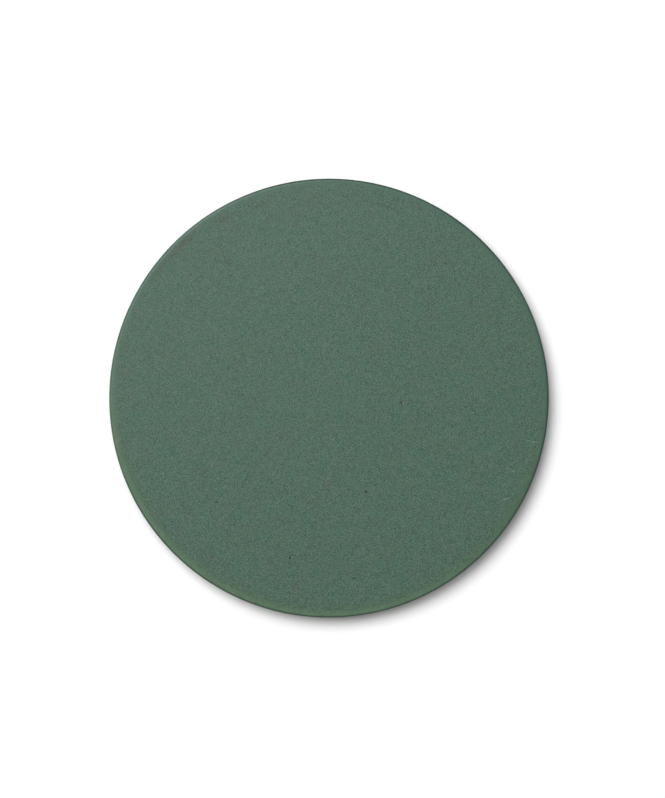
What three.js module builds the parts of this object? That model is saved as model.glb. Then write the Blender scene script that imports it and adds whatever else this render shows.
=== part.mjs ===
// A flat round stoneware plate with a satin glaze, standing on four felt pads.
// Millimetres, +Z up. The origin is on the table, under the middle of the plate.
import * as THREE from "three";

// Driving sizes
const PLATE_DIAMETER = 220; // over the glaze, at the widest point of the edge
const PLATE_THICKNESS = 5.9; // over the glaze, beside the foot ring
const TOP_ROLL_WIDTH = 2; // how far in from the widest point the flat top begins
const TOP_ROLL_DROP = 2.4; // how far the edge falls from the flat top to the widest point
const TOP_ROLL_SQUARENESS = 3; // 2 is an ellipse, and a larger number has a flatter side and tighter corners
const LOWER_ROLL_WIDTH = 3.2; // how far in from the widest point the flange begins
const FLANGE_RISE = 0.5; // how much higher the flange is at the edge than at the foot ring
const GLAZE_THICKNESS = 0.5;
const FOOT_DIAMETER = 164; // outside of the foot ring, over the glaze
const FOOT_WIDTH = 13; // of the clay ring
const FOOT_HEIGHT = 2.2; // from the bottom of the ring to the underside of the flange
const FOOT_CORNER_RADIUS = 0.6;
const COVE_RADIUS = 0.8; // where the foot ring meets the plate, inside and outside
const BARE_BAND_HEIGHT = 0.8; // clay wiped free of glaze at the bottom of the foot ring
const RECESS_DEPTH = 2; // from the bottom of the foot ring up to the glaze inside it
const PAD_COUNT = 4;
const PAD_DIAMETER = 10;
const PAD_THICKNESS = 1.5;
const PAD_EDGE_RADIUS = 0.35;
const ADHESIVE_THICKNESS = 0.2;
const FIRST_PAD_ANGLE = Math.PI / 4;

// Clearances
const BOND_GAP = 0.1; // between two pieces that are bonded face to face
const ADHESIVE_SETBACK = 0.3; // from the edge of a pad to the edge of its adhesive

// Facets
const PLATE_FACETS = 80;
const PAD_FACETS = 24;
const TOP_ROLL_STEPS = 6; // for the quarter turn above the widest point
const LOWER_ROLL_STEPS = 4; // for the quarter turn below the widest point
const FILLET_STEPS = 2; // for each quarter turn of a small fillet

// Sizes worked out from those above
const plateRadius = PLATE_DIAMETER / 2;
const skin = GLAZE_THICKNESS + BOND_GAP; // from the glaze's face to the clay behind it
const footBottom = PAD_THICKNESS + ADHESIVE_THICKNESS + 2 * BOND_GAP;
const glazeLine = footBottom + BARE_BAND_HEIGHT;
const flangeUnderside = footBottom + FOOT_HEIGHT;
const recessCeiling = footBottom + RECESS_DEPTH;
const topHeight = flangeUnderside + PLATE_THICKNESS;
const widestHeight = topHeight - TOP_ROLL_DROP;
const lowerRollDrop = PLATE_THICKNESS - TOP_ROLL_DROP - FLANGE_RISE;
const glazedFootRadius = FOOT_DIAMETER / 2;
const clayFootOuterRadius = glazedFootRadius - skin;
const clayFootInnerRadius = clayFootOuterRadius - FOOT_WIDTH;
const recessRadius = clayFootInnerRadius - skin;
const padCircleRadius = (clayFootOuterRadius + clayFootInnerRadius) / 2;

const materials = {
  glaze: new THREE.MeshStandardMaterial({ color: 0x566e60, roughness: 0.45, metalness: 0 }),
  clay: new THREE.MeshStandardMaterial({ color: 0xa8917a, roughness: 0.9, metalness: 0 }),
  felt: new THREE.MeshStandardMaterial({ color: 0x4a4741, roughness: 1, metalness: 0 }),
  adhesive: new THREE.MeshStandardMaterial({ color: 0xd8d2c4, roughness: 0.5, metalness: 0 }),
};

// Points on part of an ellipse, or of a squarer oval, in the (radius, height) plane, its ends included.
// Angles are in degrees.
function arc(centreRadius, centreHeight, reachOut, reachUp, fromDegrees, toDegrees, steps, squareness = 2) {
  const points = [];
  for (let step = 0; step <= steps; step += 1) {
    const angle = THREE.MathUtils.degToRad(THREE.MathUtils.lerp(fromDegrees, toDegrees, step / steps));
    const along = Math.abs(Math.cos(angle)) ** squareness;
    const up = Math.abs(Math.sin(angle)) ** squareness;
    const reach = (along + up) ** (-1 / squareness);
    const radius = centreRadius + reachOut * reach * Math.cos(angle);
    const height = centreHeight + reachUp * reach * Math.sin(angle);
    points.push(new THREE.Vector2(radius, height));
  }
  return points;
}

// The outside of the plate, from a height on the foot ring's outer wall, out along the flange, round the
// edge and in to the axis. Inset is how far inside the glaze's face the outline runs.
function outerOutline(startHeight, inset) {
  const cove = COVE_RADIUS + inset;
  const coveCentreRadius = glazedFootRadius + COVE_RADIUS;
  const coveCentreHeight = flangeUnderside - COVE_RADIUS;
  const lowerWidth = LOWER_ROLL_WIDTH - inset;
  const lowerDrop = lowerRollDrop - inset;
  const topWidth = TOP_ROLL_WIDTH - inset;
  const topDrop = TOP_ROLL_DROP - inset;
  const lowerCentreRadius = plateRadius - LOWER_ROLL_WIDTH;
  const topCentreRadius = plateRadius - TOP_ROLL_WIDTH;
  const lowerRoll = arc(lowerCentreRadius, widestHeight, lowerWidth, lowerDrop, -90, 0, LOWER_ROLL_STEPS);
  const topRoll = arc(
    topCentreRadius, widestHeight, topWidth, topDrop, 0, 90, TOP_ROLL_STEPS, TOP_ROLL_SQUARENESS,
  );
  return [
    new THREE.Vector2(glazedFootRadius - inset, startHeight),
    ...arc(coveCentreRadius, coveCentreHeight, cove, cove, 180, 90, FILLET_STEPS),
    ...lowerRoll,
    ...topRoll.slice(1),
    new THREE.Vector2(0, topHeight - inset),
  ];
}

// The inside of the foot ring, from the axis out along the ceiling of the recess and down its wall.
function recessOutline(endHeight, inset) {
  const cove = COVE_RADIUS + inset;
  const coveCentreRadius = recessRadius - COVE_RADIUS;
  const coveCentreHeight = recessCeiling - COVE_RADIUS;
  return [
    new THREE.Vector2(0, recessCeiling + inset),
    ...arc(coveCentreRadius, coveCentreHeight, cove, cove, 90, 0, FILLET_STEPS),
    new THREE.Vector2(recessRadius + inset, endHeight),
  ];
}

// A solid of revolution about +Z from an outline that starts and ends on the axis.
function turned(name, outline, facets, material) {
  const mesh = new THREE.Mesh(new THREE.LatheGeometry(outline, facets), material);
  mesh.name = name;
  mesh.rotation.x = Math.PI / 2;
  return mesh;
}

// The fired clay: a flat disc with a low foot ring. Only the bottom of the ring stays bare.
function stonewareBody() {
  const corner = FOOT_CORNER_RADIUS;
  const cornerHeight = footBottom + corner;
  const innerCorner = arc(clayFootInnerRadius + corner, cornerHeight, corner, corner, 180, 270, FILLET_STEPS);
  const outerCorner = arc(clayFootOuterRadius - corner, cornerHeight, corner, corner, 270, 360, FILLET_STEPS);
  const outline = [
    ...recessOutline(cornerHeight, skin).slice(0, -1),
    ...innerCorner,
    ...outerCorner,
    ...outerOutline(cornerHeight, skin).slice(1),
  ];
  return turned("stoneware_body", outline, PLATE_FACETS, materials.clay);
}

// The glaze seen from above: over the top, round the edge and under the flange to the foot ring.
function glazeCoat() {
  const face = outerOutline(glazeLine, 0);
  const back = outerOutline(glazeLine, GLAZE_THICKNESS);
  return turned("glaze_coat", [...back.reverse(), ...face], PLATE_FACETS, materials.glaze);
}

// The glaze inside the foot ring, on the ceiling of the recess and down its wall.
function undersideGlaze() {
  const face = recessOutline(glazeLine, 0);
  const back = recessOutline(glazeLine, GLAZE_THICKNESS);
  return turned("underside_glaze", [...face, ...back.reverse()], PLATE_FACETS, materials.glaze);
}

function feltPad(name) {
  const edge = PAD_EDGE_RADIUS;
  const sideRadius = PAD_DIAMETER / 2 - edge;
  const outline = [
    new THREE.Vector2(0, 0),
    ...arc(sideRadius, edge, edge, edge, 270, 360, FILLET_STEPS),
    ...arc(sideRadius, PAD_THICKNESS - edge, edge, edge, 0, 90, FILLET_STEPS),
    new THREE.Vector2(0, PAD_THICKNESS),
  ];
  return turned(name, outline, PAD_FACETS, materials.felt);
}

function padAdhesive(name) {
  const radius = PAD_DIAMETER / 2 - ADHESIVE_SETBACK;
  const bottom = PAD_THICKNESS + BOND_GAP;
  const outline = [
    new THREE.Vector2(0, bottom),
    new THREE.Vector2(radius, bottom),
    new THREE.Vector2(radius, bottom + ADHESIVE_THICKNESS),
    new THREE.Vector2(0, bottom + ADHESIVE_THICKNESS),
  ];
  return turned(name, outline, PAD_FACETS, materials.adhesive);
}

// A pad with its adhesive, under the middle of the foot ring.
function padAt(number, angle) {
  const group = new THREE.Group();
  group.add(feltPad(`felt_pad_${number}`));
  group.add(padAdhesive(`pad_adhesive_${number}`));
  group.position.set(padCircleRadius * Math.cos(angle), padCircleRadius * Math.sin(angle), 0);
  return group;
}

const group = new THREE.Group();
group.add(stonewareBody());
group.add(glazeCoat());
group.add(undersideGlaze());
for (let index = 0; index < PAD_COUNT; index += 1) {
  group.add(padAt(index + 1, FIRST_PAD_ANGLE + (index * 2 * Math.PI) / PAD_COUNT));
}

export default group;
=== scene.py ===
"""A flat round stoneware plate with a mottled satin glaze, standing on four felt pads. Metres, +Z up."""
import math

import bmesh
import bpy
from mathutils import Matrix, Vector, noise


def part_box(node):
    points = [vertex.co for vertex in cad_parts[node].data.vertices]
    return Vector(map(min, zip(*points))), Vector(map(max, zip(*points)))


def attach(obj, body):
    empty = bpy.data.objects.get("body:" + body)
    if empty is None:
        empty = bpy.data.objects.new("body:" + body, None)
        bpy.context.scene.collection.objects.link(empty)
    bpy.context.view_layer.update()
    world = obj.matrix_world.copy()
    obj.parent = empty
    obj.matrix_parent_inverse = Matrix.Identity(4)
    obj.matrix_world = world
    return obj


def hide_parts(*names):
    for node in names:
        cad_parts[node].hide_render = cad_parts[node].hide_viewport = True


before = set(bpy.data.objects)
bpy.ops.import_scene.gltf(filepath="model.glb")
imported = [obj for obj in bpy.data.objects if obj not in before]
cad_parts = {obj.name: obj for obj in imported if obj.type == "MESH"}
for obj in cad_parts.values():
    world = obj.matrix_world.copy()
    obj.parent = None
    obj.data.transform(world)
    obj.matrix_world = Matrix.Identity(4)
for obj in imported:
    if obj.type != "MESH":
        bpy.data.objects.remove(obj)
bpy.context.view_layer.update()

MM = 0.001

# Sizes that the frame's boxes don't give, as in the part's own drawing
TOP_ROLL_WIDTH = 2.0 * MM
TOP_ROLL_DROP = 2.4 * MM
LOWER_ROLL_WIDTH = 3.2 * MM
FLANGE_RISE = 0.5 * MM
GLAZE_THICKNESS = 0.5 * MM
FOOT_HEIGHT = 2.2 * MM
FOOT_CORNER_RADIUS = 0.6 * MM
COVE_RADIUS = 0.8 * MM
TOP_ROLL_SQUARENESS = 3  # 2 is an ellipse, and a larger number has a flatter side and tighter corners

# Facets round the plate and round a pad
PLATE_FACETS = 480
PAD_FACETS = 96

# Steps along each stretch of the plate's outline, for a detail of 1
COVE_STEPS = 2
FLANGE_STEPS = 4
LOWER_ROLL_STEPS = 4
TOP_ROLL_STEPS = 7
TURNED_BAND_STEPS = 7
MIDDLE_STEPS = 10

# The bare bottom of the foot ring
FOOT_CORNER_STEPS = 6
FOOT_BOTTOM_STEPS = 16

# The rounded end of the glaze
BEAD_DROP = GLAZE_THICKNESS * 0.4
BEAD_STEPS = 8

# Firing and handwork, which leave no plate quite true
OUT_OF_ROUND = 0.0009  # share of the radius
LONG_AXIS_ANGLE = math.radians(20)
TOP_UNEVENNESS = 0.05 * MM
UNEVENNESS_SPACING = 45 * MM
TURNING_LINE_DEPTH = 0.010 * MM
TURNING_LINE_SPACING = 0.85 * MM
TURNING_LINE_BAND = 4.5 * MM  # in from the widest point of the edge
TURNING_LINE_WANDER = 0.3  # share of the spacing
TURNING_LINE_FINENESS = 2
GLAZE_LINE_WANDER = 0.18 * MM
GLAZE_LINE_FINENESS = 9

# Pinholes where gas broke through the glaze: right of the middle, behind it, and radius, in millimetres
PINHOLES = (
    (18.5, -46.9, 0.42),
    (36.0, -2.0, 0.36),
    (10.1, -45.9, 0.26),
    (-56.2, -52.0, 0.28),
    (-19.5, -80.0, 0.40),
    (12.5, -90.0, 0.36),
)
PINHOLE_DEPTH = 0.3 * MM
PINHOLE_WALL = 0.7  # 1 is a bowl, and a smaller number has steeper walls
PINHOLE_LIP_HEIGHT = 0.04 * MM
PINHOLE_LIP_RADIUS = 1.25  # in radii of the pinhole, as are the next three
PINHOLE_LIP_WIDTH = 0.3
PINHOLE_REACH = 2
PINHOLE_FINER_MESH = (5, 3)  # the mesh is cut finer within the first, and again within the second
PINHOLE_CUTS = 2

# Felt pads and the glue that holds them
PAD_COUNT = 4
PAD_EDGE_RADIUS = 0.3 * MM
PAD_EDGE_STEPS = 12
PAD_FACE_STEPS = 12
PAD_BULGE = 0.12 * MM
PAD_BULGE_SHARPNESS = 6  # how closely the bulge and the ragged cut keep to the side of the pad
PAD_NOISE_SHIFT = 17.0  # mm from one pad's noise to the next one's
CUT_RAGGEDNESS = 0.06  # mm, as is the next
FINE_CUT_RAGGEDNESS = 0.05
CUT_WAVES = 2.2  # to a mm, as are the next two
FINE_CUT_WAVES = 5
FACE_LIFT_WAVES = 3
FACE_LIFT = 0.05 * MM
GLUE_EDGE_STEPS = 6
GLUE_FACE_STEPS = 4
GLUE_SQUEEZE = 0.02  # share of the film's radius
GLUE_SQUEEZE_FINENESS = 3

plate_low, plate_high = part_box("glaze_coat")
clay_low, clay_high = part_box("stoneware_body")
recess_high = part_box("underside_glaze")[1]
pad_low, pad_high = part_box("felt_pad_1")

plate_radius = plate_high.x
top_height = plate_high.z
glaze_line = plate_low.z
foot_bottom = clay_low.z
skin = top_height - clay_high.z
widest_height = top_height - TOP_ROLL_DROP
flange_height = foot_bottom + FOOT_HEIGHT
recess_ceiling = recess_high.z - GLAZE_THICKNESS
recess_radius = recess_high.x - GLAZE_THICKNESS
pad_centre = (pad_low + pad_high) / 2
pad_circle_radius = math.hypot(pad_centre.x, pad_centre.y)
clay_foot_inner = recess_radius + skin
clay_foot_outer = 2 * pad_circle_radius - clay_foot_inner
glazed_foot = clay_foot_outer + skin


# Shapes


def arc(centre, reach, start, end, steps, squareness=2):
    """Points on part of an ellipse, or of a squarer oval, in the (radius, height) plane.

    Angles are in degrees.
    """
    points = []
    for step in range(steps + 1):
        angle = math.radians(start + (end - start) * step / steps)
        along = Vector((math.cos(angle), math.sin(angle)))
        size = (abs(along.x) ** squareness + abs(along.y) ** squareness) ** (1 / squareness)
        points.append((centre[0] + reach[0] * along.x / size, centre[1] + reach[1] * along.y / size))
    return points


def line(start, end, steps):
    """Points from start towards end, without the end itself."""
    return [
        (start[0] + (end[0] - start[0]) * step / steps, start[1] + (end[1] - start[1]) * step / steps)
        for step in range(steps)
    ]


def outer_outline(start_height, inset, detail):
    """From the foot ring's outer wall, along the flange, round the edge and over the top to the axis."""
    cove_centre = (glazed_foot + COVE_RADIUS, flange_height - COVE_RADIUS)
    cove = arc(cove_centre, (COVE_RADIUS + inset,) * 2, 180, 90, COVE_STEPS * detail)
    lower_drop = widest_height - flange_height - FLANGE_RISE
    lower_centre = (plate_radius - LOWER_ROLL_WIDTH, widest_height)
    lower_reach = (LOWER_ROLL_WIDTH - inset, lower_drop - inset)
    lower = arc(lower_centre, lower_reach, -90, 0, LOWER_ROLL_STEPS * detail)
    top_centre = (plate_radius - TOP_ROLL_WIDTH, widest_height)
    top_reach = (TOP_ROLL_WIDTH - inset, TOP_ROLL_DROP - inset)
    top = arc(top_centre, top_reach, 0, 90, TOP_ROLL_STEPS * detail, TOP_ROLL_SQUARENESS)
    wall = line((glazed_foot - inset, start_height), cove[0], detail)
    flange = line(cove[-1], lower[0], FLANGE_STEPS * detail)
    turned_from = (plate_radius - TURNING_LINE_BAND, top_height - inset)
    turned_band = line(top[-1], turned_from, TURNED_BAND_STEPS * detail)
    axis = (0, top_height - inset)
    middle = line(turned_from, axis, MIDDLE_STEPS * detail)
    return [*wall, *cove[:-1], *flange, *lower, *top[1:-1], *turned_band, *middle, axis]


def recess_outline(end_height, inset, detail):
    """Inside the foot ring, from the axis along the ceiling and down the wall."""
    cove_centre = (recess_radius - COVE_RADIUS, recess_ceiling - COVE_RADIUS)
    cove = arc(cove_centre, (COVE_RADIUS + inset,) * 2, 90, 0, COVE_STEPS * detail)
    ceiling = line((0, recess_ceiling + inset), cove[0], MIDDLE_STEPS * detail)
    end = (recess_radius + inset, end_height)
    wall = line(cove[-1], end, detail)
    return [*ceiling, *cove[:-1], *wall, end]


def turned_mesh(name, outline, facets, shape):
    """A closed mesh from an outline that starts and ends on the axis.

    shape(radius, height, angle) gives the place of a point of the outline, turned by the angle.
    """
    rings = outline[1:-1]
    points = [shape(*outline[0], 0)]
    for radius, height in rings:
        points += [shape(radius, height, 2 * math.pi * facet / facets) for facet in range(facets)]
    points.append(shape(*outline[-1], 0))
    last = len(points) - 1
    faces = []
    for facet in range(facets):
        after = (facet + 1) % facets
        faces.append((0, 1 + after, 1 + facet))
        faces.append((last, last - facets + facet, last - facets + after))
        for ring in range(len(rings) - 1):
            here = 1 + ring * facets
            above = here + facets
            faces.append((here + facet, here + after, above + after, above + facet))
    mesh = bpy.data.meshes.new(name)
    mesh.from_pydata(points, [], faces)
    mesh.shade_smooth()
    return mesh


def piece(name, mesh, node, material):
    """A visible piece that stands for a node of the frame."""
    made = bpy.data.objects.new(name, mesh)
    bpy.context.scene.collection.objects.link(made)
    mesh.materials.append(material)
    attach(made, "root")
    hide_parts(node)
    return made


def waver(angle, level, fineness):
    """Smooth noise round a circle, from about -1 to 1. Each level has its own."""
    return noise.noise(Vector((math.cos(angle), math.sin(angle), level)) * fineness)


def fired(radius, height, angle):
    """A point of the plate after firing: a little out of round, and uneven on top."""
    radius *= 1 + OUT_OF_ROUND * math.cos(2 * (angle - LONG_AXIS_ANGLE))
    x = radius * math.cos(angle)
    y = radius * math.sin(angle)
    above_foot = (height - foot_bottom) / (top_height - foot_bottom)
    uneven = noise.noise(Vector((x, y, 0)) / UNEVENNESS_SPACING)
    return Vector((x, y, height + TOP_UNEVENNESS * above_foot * uneven))


def glazed(radius, height, angle):
    """A point of the glaze: fired, with turning lines near the edge and an uneven line on the foot."""
    from_edge = plate_radius - radius
    if from_edge < TURNING_LINE_BAND and height > widest_height:
        fade = math.sin(math.pi * from_edge / TURNING_LINE_BAND)
        wander = TURNING_LINE_WANDER * waver(angle, 0.5, TURNING_LINE_FINENESS)
        turns = from_edge / TURNING_LINE_SPACING + wander
        height += TURNING_LINE_DEPTH * fade * math.sin(2 * math.pi * turns)
    if height < flange_height - COVE_RADIUS:
        low_share = (flange_height - COVE_RADIUS - height) / (flange_height - COVE_RADIUS - glaze_line)
        height += GLAZE_LINE_WANDER * low_share * waver(angle, 2, GLAZE_LINE_FINENESS)
    return fired(radius, height, angle)


def on_top_within(face, centre, reach):
    """Whether a face lies on the top of the plate, within reach of centre."""
    middle = face.calc_center_median()
    return middle.z > widest_height and (middle.xy - centre).length < reach


def sink_pinholes(mesh):
    """Refines the top round each pinhole and sinks a small crater with a soft lip."""
    work = bmesh.new()
    work.from_mesh(mesh)
    for right, behind, size in PINHOLES:
        centre = Vector((right * MM, behind * MM))
        radius = size * MM
        for reach in PINHOLE_FINER_MESH:
            near = [face for face in work.faces if on_top_within(face, centre, reach * radius)]
            edges = list({edge for face in near for edge in face.edges})
            bmesh.ops.subdivide_edges(work, edges=edges, cuts=PINHOLE_CUTS, use_grid_fill=True)
        for vertex in work.verts:
            away = (vertex.co.xy - centre).length / radius
            if vertex.co.z > widest_height and away < PINHOLE_REACH:
                pit = max(0, 1 - away * away) ** PINHOLE_WALL
                lip = math.exp(-((away - PINHOLE_LIP_RADIUS) / PINHOLE_LIP_WIDTH) ** 2)
                vertex.co.z += -PINHOLE_DEPTH * pit + PINHOLE_LIP_HEIGHT * lip
    bmesh.ops.triangulate(work, faces=[face for face in work.faces if len(face.verts) > 4])
    work.to_mesh(mesh)
    work.free()
    mesh.shade_smooth()


def glaze_bead(outer, height, direction):
    """The rounded end of the glaze, from its face back to the clay."""
    reach = direction * GLAZE_THICKNESS / 2
    return arc((outer - reach, height), (reach, BEAD_DROP), -180, 0, BEAD_STEPS)[1:-1]


def glaze_coat_mesh():
    """The glaze over the top, round the edge and under the flange, with its pinholes."""
    face = outer_outline(glaze_line, inset=0, detail=4)
    back = outer_outline(glaze_line, inset=GLAZE_THICKNESS, detail=1)
    bead = glaze_bead(glazed_foot, glaze_line, 1)
    mesh = turned_mesh("glaze_coat", [*reversed(back), *bead, *face], PLATE_FACETS, glazed)
    sink_pinholes(mesh)
    return mesh


def underside_glaze_mesh():
    """The glaze inside the foot ring."""
    face = recess_outline(glaze_line, inset=0, detail=3)
    back = recess_outline(glaze_line, inset=GLAZE_THICKNESS, detail=1)
    bead = glaze_bead(recess_radius, glaze_line, -1)[::-1]
    return turned_mesh("underside_glaze", [*face, *bead, *reversed(back)], PLATE_FACETS, glazed)


def stoneware_body_mesh():
    """The clay under the glaze, with the bare bottom of the foot ring."""
    corner = FOOT_CORNER_RADIUS
    corner_height = foot_bottom + corner
    reach = (corner, corner)
    inner = arc((clay_foot_inner + corner, corner_height), reach, 180, 270, FOOT_CORNER_STEPS)
    outer = arc((clay_foot_outer - corner, corner_height), reach, 270, 360, FOOT_CORNER_STEPS)
    outline = [
        *recess_outline(corner_height, inset=skin, detail=2)[:-1],
        *inner[:-1],
        *line(inner[-1], outer[0], FOOT_BOTTOM_STEPS),
        *outer,
        *outer_outline(corner_height, inset=skin, detail=2)[1:],
    ]
    return turned_mesh("stoneware_body", outline, PLATE_FACETS, fired)


def felt_pad_mesh(name, low, high, seed):
    """A punched disc of felt: its side bulges under the load and its cut edge is uneven."""
    centre = (low + high) / 2
    radius = (high.x - low.x) / 2
    thickness = high.z - low.z
    side_reach = (PAD_EDGE_RADIUS, thickness / 2)
    side = arc((radius - PAD_EDGE_RADIUS, thickness / 2), side_reach, -90, 90, PAD_EDGE_STEPS)
    bottom = line((0, 0), side[0], PAD_FACE_STEPS)
    top = line(side[-1], (0, thickness), PAD_FACE_STEPS)[1:]

    def pressed(pad_radius, height, angle):
        out = pad_radius / radius
        x = pad_radius * math.cos(angle)
        y = pad_radius * math.sin(angle)
        here = Vector((x, y, height)) / MM + Vector((0, 0, PAD_NOISE_SHIFT * seed))
        ragged = CUT_RAGGEDNESS * noise.noise(here * CUT_WAVES)
        ragged += FINE_CUT_RAGGEDNESS * noise.noise(here * FINE_CUT_WAVES)
        bulge = PAD_BULGE * math.sin(math.pi * height / thickness)
        swell = 1 + out ** PAD_BULGE_SHARPNESS * (bulge + ragged * MM) / radius
        between_faces = math.sin(math.pi * min(1, height / thickness))
        lift = FACE_LIFT * noise.noise(here * FACE_LIFT_WAVES) * between_faces
        return Vector((centre.x + x * swell, centre.y + y * swell, low.z + height + lift))

    return turned_mesh(name, [*bottom, *side, *top, (0, thickness)], PAD_FACETS, pressed)


def adhesive_mesh(name, low, high, seed):
    """A thin film of glue, squeezed out a little unevenly."""
    centre = (low + high) / 2
    radius = (high.x - low.x) / 2
    thickness = foot_bottom - pad_high.z
    half = thickness / 2
    side = arc((radius - half, half), (half, half), -90, 90, GLUE_EDGE_STEPS)
    bottom = line((0, 0), side[0], GLUE_FACE_STEPS)
    top = line(side[-1], (0, thickness), GLUE_FACE_STEPS)[1:]

    def squeezed(film_radius, height, angle):
        squeeze = 1 + GLUE_SQUEEZE * waver(angle, seed, GLUE_SQUEEZE_FINENESS)
        x = film_radius * squeeze * math.cos(angle)
        y = film_radius * squeeze * math.sin(angle)
        return Vector((centre.x + x, centre.y + y, pad_high.z + height))

    return turned_mesh(name, [*bottom, *side, *top, (0, thickness)], PAD_FACETS, squeezed)


# Materials


def feed(tree, socket, value):
    """Links an output to a socket, or gives the socket a value."""
    if isinstance(value, bpy.types.NodeSocket):
        tree.links.new(value, socket)
    else:
        socket.default_value = value


def add(tree, kind, inputs=None, **settings):
    """A node in a tree, with its settings and with a value or a link for each input named."""
    made = tree.nodes.new(kind)
    for name, value in settings.items():
        setattr(made, name, value)
    for name, value in (inputs or {}).items():
        feed(tree, made.inputs[name], value)
    return made


def calc(tree, operation, *values):
    """A Math node's result."""
    return add(tree, "ShaderNodeMath", dict(enumerate(values)), operation=operation).outputs[0]


def vector_calc(tree, operation, *values, result="Vector"):
    """A Vector Math node's result, which is a vector or, if asked for, a value."""
    made = add(tree, "ShaderNodeVectorMath", dict(enumerate(values)), operation=operation)
    return made.outputs[result]


def ramp(tree, value, low, high, to_low=0.0, to_high=1.0):
    """Value eased from low..high to to_low..to_high, and held beyond them."""
    inputs = {"Value": value, "From Min": low, "From Max": high, "To Min": to_low, "To Max": to_high}
    return add(tree, "ShaderNodeMapRange", inputs, interpolation_type="SMOOTHSTEP").outputs["Result"]


def tint(tree, share, colour, towards):
    """Colour mixed towards another by share."""
    made = tree.nodes.new("ShaderNodeMix")
    made.data_type = "RGBA"
    feed(tree, made.inputs[0], share)
    feed(tree, made.inputs[6], colour)
    feed(tree, made.inputs[7], towards)
    return made.outputs[2]


def shade(tree, colour, tone):
    """Colour multiplied by a tone, where 1 leaves it as it is."""
    return add(tree, "ShaderNodeVectorMath", {0: colour, "Scale": tone}, operation="SCALE").outputs[0]


def new_group(name, inputs, outputs):
    """An empty shader group with float or vector inputs and float outputs, and its two end nodes."""
    tree = bpy.data.node_groups.new(name, "ShaderNodeTree")
    for label, kind, value in inputs:
        socket = tree.interface.new_socket(label, in_out="INPUT", socket_type=kind)
        if value is not None:
            socket.default_value = value
    for label in outputs:
        tree.interface.new_socket(label, in_out="OUTPUT", socket_type="NodeSocketFloat")
    return tree, tree.nodes.new("NodeGroupInput").outputs, tree.nodes.new("NodeGroupOutput").inputs


LATTICE_TILT = (0.5, 0.35, 0.2)  # radians about each axis
DIMPLE_SHARE = 0.3  # of the grain's height
SPECK_CORE = 0.4  # share of a speck's radius that is fully dark


def make_grain_group():
    """Fine grain, from noise and from the dimples of a curdled surface.

    It gives a tone about 1 and a height from 0 to 1.
    """
    tree, given, result = new_group(
        "fine_grain",
        [("Position", "NodeSocketVector", None), ("Grains per mm", "NodeSocketFloat", 1.0),
         ("Strength", "NodeSocketFloat", 0.2)],
        ["Tone", "Height"],
    )
    # Noise is weak along its own lattice planes, so it is tilted away from the plate's flat faces.
    tilted = add(tree, "ShaderNodeMapping", {
        "Vector": given["Position"], "Rotation": LATTICE_TILT,
    }).outputs[0]
    fine = add(tree, "ShaderNodeTexNoise", {
        "Vector": tilted, "Scale": given["Grains per mm"], "Detail": 1.0, "Roughness": 0.5,
    }).outputs["Fac"]
    dimples = add(tree, "ShaderNodeTexVoronoi", {
        "Vector": tilted, "Scale": given["Grains per mm"],
    }).outputs["Distance"]
    noise_part = calc(tree, "MULTIPLY", fine, 1 - DIMPLE_SHARE)
    height = calc(tree, "MULTIPLY_ADD", dimples, DIMPLE_SHARE, noise_part)
    swing = calc(tree, "SUBTRACT", height, 0.5)
    tone = calc(tree, "MULTIPLY_ADD", swing, given["Strength"], 1.0)
    tree.links.new(tone, result["Tone"])
    tree.links.new(height, result["Height"])
    return tree


def make_speck_group():
    """Round specks scattered at random: 1 on a speck and 0 between them."""
    tree, given, result = new_group(
        "scattered_specks",
        [("Position", "NodeSocketVector", None), ("Specks per mm", "NodeSocketFloat", 0.3),
         ("Radius", "NodeSocketFloat", 0.25), ("Share", "NodeSocketFloat", 0.5)],
        ["Mask"],
    )
    cells = add(tree, "ShaderNodeTexVoronoi", {"Vector": given["Position"], "Scale": given["Specks per mm"]})
    draw = add(tree, "ShaderNodeSeparateColor", {"Color": cells.outputs["Color"]}).outputs["Red"]
    size = calc(tree, "MULTIPLY", given["Radius"], draw)
    present = calc(tree, "GREATER_THAN", draw, calc(tree, "SUBTRACT", 1.0, given["Share"]))
    inner = calc(tree, "MULTIPLY", size, SPECK_CORE)
    disc = add(tree, "ShaderNodeMapRange", {
        "Value": cells.outputs["Distance"], "From Min": inner, "From Max": size, "To Min": 1.0, "To Max": 0.0,
    }).outputs["Result"]
    tree.links.new(calc(tree, "MULTIPLY", disc, present), result["Mask"])
    return tree


def make_drift_group():
    """Broad soft patches: 0 to 1 with a soft border."""
    tree, given, result = new_group(
        "soft_patches",
        [("Position", "NodeSocketVector", None), ("Patches per mm", "NodeSocketFloat", 0.05),
         ("Low", "NodeSocketFloat", 0.4), ("High", "NodeSocketFloat", 0.6)],
        ["Mask"],
    )
    cloud = add(tree, "ShaderNodeTexNoise", {
        "Vector": given["Position"], "Scale": given["Patches per mm"], "Detail": 3.0, "Roughness": 0.55,
    }).outputs["Fac"]
    tree.links.new(ramp(tree, cloud, given["Low"], given["High"]), result["Mask"])
    return tree


GRAIN = make_grain_group()
SPECKS = make_speck_group()
PATCHES = make_drift_group()


def use(tree, group, inputs):
    """A group placed in a material. Returns its outputs."""
    made = tree.nodes.new("ShaderNodeGroup")
    made.node_tree = group
    for name, value in inputs.items():
        feed(tree, made.inputs[name], value)
    return made.outputs


def patches(tree, position, per_mm, low, high):
    """Where the soft patches of a finish lie: 1 inside them and 0 outside."""
    inputs = {"Position": position, "Patches per mm": per_mm, "Low": low, "High": high}
    return use(tree, PATCHES, inputs)["Mask"]


def specks(tree, position, per_mm, radius, share):
    """Where the specks of a finish lie.

    The finish has per_mm cells to a millimetre. Radius is in cells, and share is how many cells hold a speck.
    """
    inputs = {"Position": position, "Specks per mm": per_mm, "Radius": radius, "Share": share}
    return use(tree, SPECKS, inputs)["Mask"]


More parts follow.
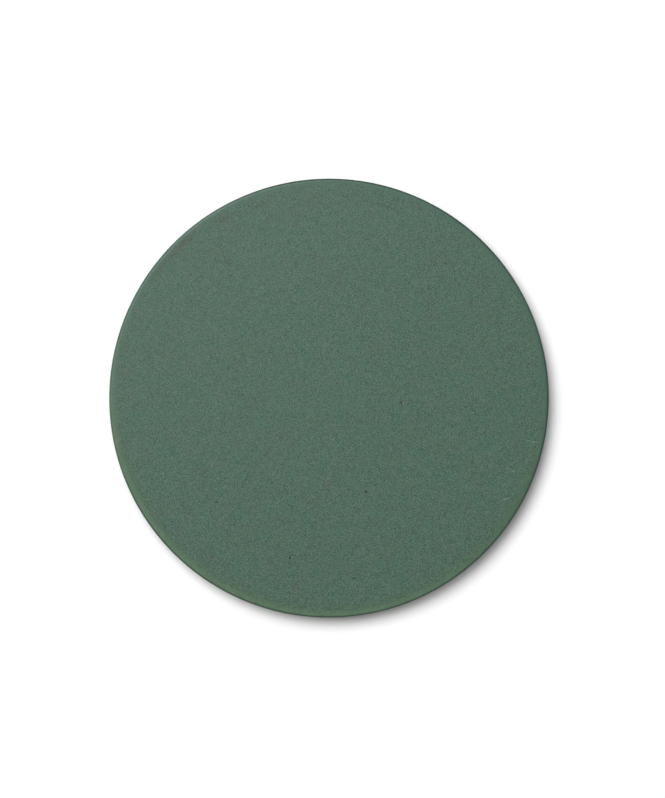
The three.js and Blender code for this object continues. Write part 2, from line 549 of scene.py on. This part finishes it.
def new_material(name):
    """A material with a bare Principled shader, its tree, the shader and the position in millimetres."""
    material = bpy.data.materials.new(name)
    material.use_nodes = True
    tree = material.node_tree
    shader = tree.nodes["Principled BSDF"]
    place = add(tree, "ShaderNodeTexCoord").outputs["Object"]
    position = add(tree, "ShaderNodeVectorMath", {0: place, "Scale": 1 / MM}, operation="SCALE").outputs[0]
    return material, tree, shader, position


def bump(tree, shader, height, distance, strength=1.0):
    """Gives a shader fine relief from a height between 0 and about 1."""
    made = add(tree, "ShaderNodeBump", {"Height": height, "Distance": distance, "Strength": strength})
    tree.links.new(made.outputs["Normal"], shader.inputs["Normal"])


# Colours of the glaze
SEA_GREEN = (0.0450, 0.0960, 0.0688, 1)
MOSS_GREEN = (0.0515, 0.0930, 0.0660, 1)
IRON_BROWN = (0.0635, 0.0710, 0.0515, 1)
OLIVE = (0.0500, 0.0925, 0.0555, 1)
THIN_GLAZE_AND_HIGHLIGHT = (0.0790, 0.1395, 0.0835, 1)  # where the glaze runs thin over the buff clay, and also lighter as a painted highlight where the edge faces the front-left light
RED_BROWN = (0.0500, 0.0620, 0.0435, 1)
PALE_SCRATCH = (0.1750, 0.2400, 0.1850, 1)
EDGE_SHADE_GREEN = (0.0160, 0.0360, 0.0250, 1)  # painted shade: a dark line round the outer edge
DEEP_GREEN = (0.0120, 0.0280, 0.0200, 1)
# Painted shade inside each pinhole and just round it
PINHOLE_SHADE_COLOUR = (0.0030, 0.0060, 0.0045, 1)
GRAIN_SHIFT = (0.068, 0.092, 0.079)  # how far a whole unit of grain moves the colour

# How the glaze ran, and where the painted highlight and painted shade on the edge lie: directions from the
# middle of the plate, in the plane of the top
BACK_SIDE = (0, 1, 0)
THIN_AND_LIT_SIDE = (-0.50, -0.87, 0)  # it ran thinnest over the edge on this side, which also carries a painted highlight from the front-left light
LEAST_SHADED_SIDE = (-0.93, 0.37, 0)  # the painted shade round the edge is weakest on this side, towards the main light

# Bands round the edge: how far in from the widest point each begins and is full, in millimetres
EVEN_BAND = (3.6, 2.0)
OLIVE_BAND = (8, 3.5)
THIN_AND_LIT_BAND = (4.9, 0.6)
EDGE_SHADE_BAND = (1.15, 0.6)
QUIET_BAND = (5, 1.5)

# How much of each colour is mixed in where it is strongest
BROWN_SHARE = 0.4
OLIVE_SHARE = 0.7
PATCHY_SHARE = 0.3  # how much the thin band varies along the edge
EDGE_SHADE_SHARE = 0.88
LEAST_EDGE_SHADE = 0.2  # how much of that painted edge shade is left on the least shaded side
QUIET_GRAIN = 0.35  # how much of the fine grain is left on the edge
SPECK_SHARE = 0.6
PALE_DOT_SHARE = 0.4

# Marks on the top: centre in millimetres, direction in degrees from +X, length and width in millimetres
IRON_STAINS = (  # and how strong
    ((-71.8, 78.5), 42, 17, 5.5, 0.8),
    ((-77.4, 72.6), 46, 17, 5.5, 0.7),
    ((-84.5, 64.7), 52, 20, 6.0, 0.6),
    ((-53.1, 89.6), 30, 11, 6.5, 0.6),
    ((-34.5, 96.2), 18, 13, 6.0, 0.5),
    ((-50.6, 67.8), 20, 8.0, 5.0, 0.7),
)
SCRATCHES = (
    ((88.4, -50.3), 17, 6, 0.55),
    ((101.5, -21.5), -8, 7, 0.4),
    ((92.3, -36.6), 15, 2.2, 0.5),
)
PALE_DOTS = ((102.5, -22.0), (88.7, -35.2), (42.4, -50.0), (-62.3, -64.4), (-53.1, -60.0), (-51.8, -44.0))
PALE_DOT_WIDTH = 1.1
PINHOLE_SHADE = 3.2  # width of the painted shade round a pinhole, in radii of the pinhole

# Gloss and relief of the glaze
GLAZE_SPECULAR = 0.24
EDGE_GLOSS = -0.10  # added to the roughness round the edge
BLOTCH_RELIEF = 0.6  # beside that of the fine grain
GLAZE_RELIEF = 0.02 * MM
GLAZE_RELIEF_SHARE = 0.5

# How much of a mark is its soft border
STAIN_SOFTNESS = 0.9
SCRATCH_SOFTNESS = 0.5
PALE_DOT_SOFTNESS = 0.6
PINHOLE_SOFTNESS = 0.5


def mark(tree, position, centre, turn, length, width, softness):
    """A soft oval mark on the top of the plate: 1 on it and 0 beyond its border."""
    middle = (centre[0], centre[1], top_height / MM)
    from_middle = vector_calc(tree, "SUBTRACT", position, middle)
    lying = add(tree, "ShaderNodeVectorRotate", {
        "Vector": from_middle, "Angle": math.radians(-turn),
    }, rotation_type="Z_AXIS").outputs[0]
    shares = vector_calc(tree, "MULTIPLY", lying, (2 / length, 2 / width, 1))
    outward = vector_calc(tree, "LENGTH", shares, result="Value")
    return ramp(tree, outward, 1 - softness, 1.0, 1.0, 0.0)


def edge_band(tree, radius, band, inside=0.0, full=1.0):
    """Eases from one value inside a band round the edge to another where the band is full."""
    rim = plate_radius / MM
    begins, ends = band
    return ramp(tree, radius, rim - begins, rim - ends, inside, full)


def towards_side(tree, flat, radius, side):
    """How far a place lies towards a side of the plate: 1 straight towards it and -1 straight away."""
    along = vector_calc(tree, "DOT_PRODUCT", flat, side, result="Value")
    return calc(tree, "DIVIDE", along, calc(tree, "MAXIMUM", radius, 1.0))


def make_satin_glaze():
    """Satin green glaze that breaks to moss and brown, finely grained, thinner and greener on the edge, with
    a painted highlight on the front-left edge, a dark line of painted shade round the edge and painted shade
    in the pinholes.
    """
    material, tree, shader, position = new_material("satin_green_glaze")
    axes = add(tree, "ShaderNodeSeparateXYZ", {"Vector": position}).outputs
    flat = add(tree, "ShaderNodeCombineXYZ", {"X": axes["X"], "Y": axes["Y"]}).outputs[0]
    radius = vector_calc(tree, "LENGTH", flat, result="Value")
    behind = towards_side(tree, flat, radius, BACK_SIDE)

    moss = patches(tree, position, per_mm=0.16, low=0.35, high=0.68)
    brown = patches(tree, position, per_mm=0.3, low=0.56, high=0.8)
    uneven = patches(tree, position, per_mm=0.09, low=0.4, high=0.6)
    dark_specks = specks(tree, position, per_mm=0.6, radius=0.34, share=0.32)
    grain = use(tree, GRAIN, {"Position": position, "Grains per mm": 1.9, "Strength": 2.35})
    blotch = use(tree, GRAIN, {"Position": position, "Grains per mm": 0.35, "Strength": 0.26})

    # Over the top, sea green drifts to moss and brown. On the edge it is even behind and olive in front.
    colour = tint(tree, moss, SEA_GREEN, MOSS_GREEN)
    colour = tint(tree, calc(tree, "MULTIPLY", brown, BROWN_SHARE), colour, IRON_BROWN)
    even_band = edge_band(tree, radius, EVEN_BAND)
    even_behind = calc(tree, "MULTIPLY", even_band, ramp(tree, behind, -0.3, 0.2))
    colour = tint(tree, even_behind, colour, SEA_GREEN)
    olive_front = calc(tree, "MULTIPLY", edge_band(tree, radius, OLIVE_BAND), ramp(tree, behind, 0.1, -0.5))
    colour = tint(tree, calc(tree, "MULTIPLY", olive_front, OLIVE_SHARE), colour, OLIVE)

    # Where the edge turns down the glaze is thin on one side, and there it is also lighter as a painted
    # highlight from the front-left light. Then a dark line of painted shade round the edge, least on the
    # left.
    thin_and_lit_share = ramp(tree, towards_side(tree, flat, radius, THIN_AND_LIT_SIDE), -0.2, 0.95)
    patchy = calc(tree, "MULTIPLY_ADD", uneven, PATCHY_SHARE, 1 - PATCHY_SHARE)
    thin_and_lit_share = calc(tree, "MULTIPLY", thin_and_lit_share, patchy)
    thin_and_lit = calc(tree, "MULTIPLY", edge_band(tree, radius, THIN_AND_LIT_BAND), thin_and_lit_share)
    colour = tint(tree, thin_and_lit, colour, THIN_GLAZE_AND_HIGHLIGHT)
    # Painted shade: a dark line round the outer edge, weakest on the left towards the main light.
    to_least_shaded = towards_side(tree, flat, radius, LEAST_SHADED_SIDE)
    edge_shade_by_side = ramp(tree, to_least_shaded, 0.5, 0.95, 1.0, LEAST_EDGE_SHADE)
    edge_shade_in_band = edge_band(tree, radius, EDGE_SHADE_BAND, full=EDGE_SHADE_SHARE)
    colour = tint(tree, calc(tree, "MULTIPLY", edge_shade_in_band, edge_shade_by_side), colour, EDGE_SHADE_GREEN)

    # Marks on the top
    broken = ramp(tree, grain["Height"], 0.3, 0.6, 0.5, 1.0)
    for centre, turn, length, width, strength in IRON_STAINS:
        oval = mark(tree, position, centre, turn, length, width, STAIN_SOFTNESS)
        stain = calc(tree, "MULTIPLY", oval, strength)
        colour = tint(tree, calc(tree, "MULTIPLY", stain, broken), colour, RED_BROWN)
    for centre, turn, length, width in SCRATCHES:
        oval = mark(tree, position, centre, turn, length, width, SCRATCH_SOFTNESS)
        colour = tint(tree, calc(tree, "MULTIPLY", oval, grain["Height"]), colour, PALE_SCRATCH)
    for centre in PALE_DOTS:
        dot = mark(tree, position, centre, 0, PALE_DOT_WIDTH, PALE_DOT_WIDTH, PALE_DOT_SOFTNESS)
        colour = tint(tree, calc(tree, "MULTIPLY", dot, PALE_DOT_SHARE), colour, PALE_SCRATCH)

    # Grain moves the colour up and down, but never below deep green.
    quiet = edge_band(tree, radius, QUIET_BAND, inside=1.0, full=QUIET_GRAIN)
    swing = calc(tree, "MULTIPLY", calc(tree, "SUBTRACT", grain["Tone"], 1.0), quiet)
    swing = calc(tree, "ADD", swing, calc(tree, "SUBTRACT", blotch["Tone"], 1.0))
    colour = vector_calc(tree, "MULTIPLY_ADD", swing, GRAIN_SHIFT, colour)
    colour = vector_calc(tree, "MAXIMUM", colour, DEEP_GREEN[:3])
    colour = tint(tree, calc(tree, "MULTIPLY", dark_specks, SPECK_SHARE), colour, DEEP_GREEN)
    # Painted shade in and round each pinhole, on top of the crater's own shade
    for pit_right, pit_behind, size in PINHOLES:
        shade_width = PINHOLE_SHADE * size
        pit = mark(tree, position, (pit_right, pit_behind), 0, shade_width, shade_width, PINHOLE_SOFTNESS)
        colour = tint(tree, pit, colour, PINHOLE_SHADE_COLOUR)
    tree.links.new(colour, shader.inputs["Base Color"])

    # The satin is a little glossier round the edge.
    satin = ramp(tree, grain["Height"], 0.3, 0.7, 0.44, 0.54)
    roughness = calc(tree, "MULTIPLY_ADD", even_band, EDGE_GLOSS, satin)
    tree.links.new(roughness, shader.inputs["Roughness"])
    shader.inputs["Specular IOR Level"].default_value = GLAZE_SPECULAR
    relief = calc(tree, "MULTIPLY_ADD", blotch["Height"], BLOTCH_RELIEF, grain["Height"])
    bump(tree, shader, relief, GLAZE_RELIEF, GLAZE_RELIEF_SHARE)
    return material


# Colours under the plate
BUFF_CLAY = (0.40, 0.29, 0.19, 1)
TOASTED_CLAY = (0.33, 0.22, 0.135, 1)
PALE_GROG = (0.52, 0.42, 0.31, 1)
IRON_SPECK = (0.06, 0.035, 0.02, 1)
DARK_WOOL = (0.045, 0.042, 0.036, 1)
PALE_WOOL = (0.15, 0.14, 0.12, 1)
CLEAR_GLUE = (0.62, 0.58, 0.50, 1)
MILKY_GLUE = (0.70, 0.67, 0.60, 1)
GLUE_BUBBLE = (0.85, 0.83, 0.78, 1)


def make_bare_clay():
    """Buff stoneware clay, dry to the touch, with grog and iron specks."""
    material, tree, shader, position = new_material("bare_stoneware_clay")
    toast = patches(tree, position, per_mm=0.05, low=0.35, high=0.65)
    grain = use(tree, GRAIN, {"Position": position, "Grains per mm": 3.0, "Strength": 0.5})
    iron = specks(tree, position, per_mm=0.8, radius=0.3, share=0.2)
    grog = specks(tree, position, per_mm=1.1, radius=0.3, share=0.3)
    colour = shade(tree, tint(tree, toast, BUFF_CLAY, TOASTED_CLAY), grain["Tone"])
    colour = tint(tree, calc(tree, "MULTIPLY", grog, 0.5), colour, PALE_GROG)
    colour = tint(tree, calc(tree, "MULTIPLY", iron, 0.8), colour, IRON_SPECK)
    tree.links.new(colour, shader.inputs["Base Color"])
    tree.links.new(ramp(tree, grain["Height"], 0.2, 0.8, 0.82, 0.95), shader.inputs["Roughness"])
    bump(tree, shader, calc(tree, "ADD", grain["Height"], grog), 0.05 * MM)
    return material


def make_felt():
    """Pressed wool felt, dark grey-brown, with paler fibres."""
    material, tree, shader, position = new_material("pressed_wool_felt")
    squashed = vector_calc(tree, "MULTIPLY", position, (1, 1, 2.5))
    fibre = add(tree, "ShaderNodeTexNoise", {
        "Vector": squashed, "Scale": 4.0, "Detail": 4.0, "Roughness": 0.7, "Distortion": 2.5,
    }).outputs["Fac"]
    grain = use(tree, GRAIN, {"Position": position, "Grains per mm": 8.0, "Strength": 0.8})
    colour = tint(tree, ramp(tree, fibre, 0.35, 0.7), DARK_WOOL, PALE_WOOL)
    colour = shade(tree, colour, grain["Tone"])
    tree.links.new(colour, shader.inputs["Base Color"])
    shader.inputs["Roughness"].default_value = 1.0
    shader.inputs["Sheen Weight"].default_value = 0.5
    shader.inputs["Sheen Roughness"].default_value = 0.5
    bump(tree, shader, fibre, 0.12 * MM)
    return material


def make_adhesive():
    """Clear acrylic glue gone slightly milky, with small bubbles."""
    material, tree, shader, position = new_material("acrylic_adhesive")
    bubbles = specks(tree, position, per_mm=2.0, radius=0.4, share=0.3)
    cloud = patches(tree, position, per_mm=0.6, low=0.3, high=0.7)
    colour = tint(tree, cloud, CLEAR_GLUE, MILKY_GLUE)
    colour = tint(tree, calc(tree, "MULTIPLY", bubbles, 0.4), colour, GLUE_BUBBLE)
    tree.links.new(colour, shader.inputs["Base Color"])
    tree.links.new(ramp(tree, bubbles, 0.0, 1.0, 0.3, 0.5), shader.inputs["Roughness"])
    bump(tree, shader, bubbles, 0.03 * MM)
    return material


# Camera, floor and lights

# The camera looks straight down, a little right of the plate's middle and in front of it.
CAMERA_RIGHT = 1.74 * MM
CAMERA_FRONT = 0.43 * MM
VIEW_LONG_SIDE = 0.3997  # metres, at the widest point of the edge
LENS = 100  # millimetres, as is the sensor
SENSOR = 36

FLOOR_REACH = 6  # metres from the plate to each side of the floor
FLOOR_GREY = (0.82, 0.82, 0.82, 1)
FAR_FLOOR_GREY = (0.77, 0.77, 0.77, 1)  # beyond the floor, as bright as the floor looks from low down
WORLD_STRENGTH = 0.32
SUN_DISTANCE = 3  # metres, which places the lamp but doesn't change its light
SOFTBOX_WIDTH = 0.7
WHITE = (1, 1, 1)
WARM_WHITE = (1, 0.97, 0.92)


def make_camera():
    """A long lens straight above the plate, which keeps the edge from leaning outwards."""
    data = bpy.data.cameras.new("overhead_camera")
    data.lens = LENS
    data.sensor_width = SENSOR
    camera = bpy.data.objects.new("overhead_camera", data)
    camera.location = (CAMERA_RIGHT, -CAMERA_FRONT, widest_height + VIEW_LONG_SIDE * LENS / SENSOR)
    bpy.context.scene.collection.objects.link(camera)
    bpy.context.scene.camera = camera


def make_floor():
    """A wide pale table."""
    mesh = bpy.data.meshes.new("pale_floor")
    signs = ((-1, -1), (1, -1), (1, 1), (-1, 1))
    corners = [(x * FLOOR_REACH, y * FLOOR_REACH, 0) for x, y in signs]
    mesh.from_pydata(corners, [], [(0, 1, 2, 3)])
    floor = bpy.data.objects.new("pale_floor", mesh)
    bpy.context.scene.collection.objects.link(floor)
    material = bpy.data.materials.new("pale_table")
    material.use_nodes = True
    shader = material.node_tree.nodes["Principled BSDF"]
    shader.inputs["Base Color"].default_value = FLOOR_GREY
    shader.inputs["Roughness"].default_value = 0.9
    shader.inputs["Specular IOR Level"].default_value = 0.1
    mesh.materials.append(material)


def aim(lamp, azimuth, elevation, distance):
    """Points a lamp at the plate. Azimuth is counted from +X towards +Y, in degrees."""
    turn, lift = math.radians(azimuth), math.radians(elevation)
    away = Vector((math.cos(turn) * math.cos(lift), math.sin(turn) * math.cos(lift), math.sin(lift)))
    lamp.location = away * distance
    lamp.rotation_mode = "QUATERNION"
    lamp.rotation_quaternion = away.to_track_quat("Z", "Y")
    bpy.context.scene.collection.objects.link(lamp)


def make_window_light(azimuth, elevation, strength, spread):
    """Even light from a far, wide source, so that the whole floor is equally pale. Spread is in degrees."""
    data = bpy.data.lights.new("window_light", "SUN")
    data.energy = strength
    data.angle = math.radians(spread)
    aim(bpy.data.objects.new("window_light", data), azimuth, elevation, SUN_DISTANCE)


def make_softbox(name, azimuth, elevation, distance, power, colour):
    """A weak square area light."""
    data = bpy.data.lights.new(name, "AREA")
    data.size = SOFTBOX_WIDTH
    data.energy = power
    data.color = colour
    aim(bpy.data.objects.new(name, data), azimuth, elevation, distance)


def make_studio():
    """Soft light from all round, a wide main light from behind on the left, and three weak softboxes."""
    world = bpy.data.worlds.new("studio")
    bpy.context.scene.world = world
    world.use_nodes = True
    tree = world.node_tree
    soft = tree.nodes["Background"]
    soft.inputs["Color"].default_value = (1, 1, 1, 1)
    soft.inputs["Strength"].default_value = WORLD_STRENGTH
    pale = add(tree, "ShaderNodeBackground", {"Color": FAR_FLOOR_GREY, "Strength": 1.0})
    seen = add(tree, "ShaderNodeLightPath").outputs["Is Camera Ray"]
    mixed = add(tree, "ShaderNodeMixShader", {0: seen, 1: soft.outputs[0], 2: pale.outputs[0]})
    tree.links.new(mixed.outputs[0], tree.nodes["World Output"].inputs["Surface"])
    make_window_light(azimuth=130, elevation=60, strength=2.3, spread=42)
    make_softbox("near_softbox", azimuth=130, elevation=58, distance=1.2, power=5.5, colour=WHITE)
    make_softbox("right_reflector", azimuth=25, elevation=18, distance=1.6, power=4.2, colour=WHITE)
    make_softbox("left_reflector", azimuth=215, elevation=25, distance=1.6, power=2.5, colour=WARM_WHITE)
    bpy.context.scene.view_settings.view_transform = "Standard"


make_camera()
make_floor()
make_studio()

glaze = make_satin_glaze()
clay = make_bare_clay()
felt = make_felt()
adhesive = make_adhesive()

piece("fired_clay", stoneware_body_mesh(), "stoneware_body", clay)
piece("top_and_edge_glaze", glaze_coat_mesh(), "glaze_coat", glaze)
piece("recess_glaze", underside_glaze_mesh(), "underside_glaze", glaze)
for number in range(1, PAD_COUNT + 1):
    pad_node = f"felt_pad_{number}"
    disc = felt_pad_mesh(pad_node, *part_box(pad_node), number)
    pad = piece(f"felt_disc_{number}", disc, pad_node, felt)
    film_node = f"pad_adhesive_{number}"
    film = adhesive_mesh(film_node, *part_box(film_node), number)
    piece(f"glue_film_{number}", film, film_node, adhesive)
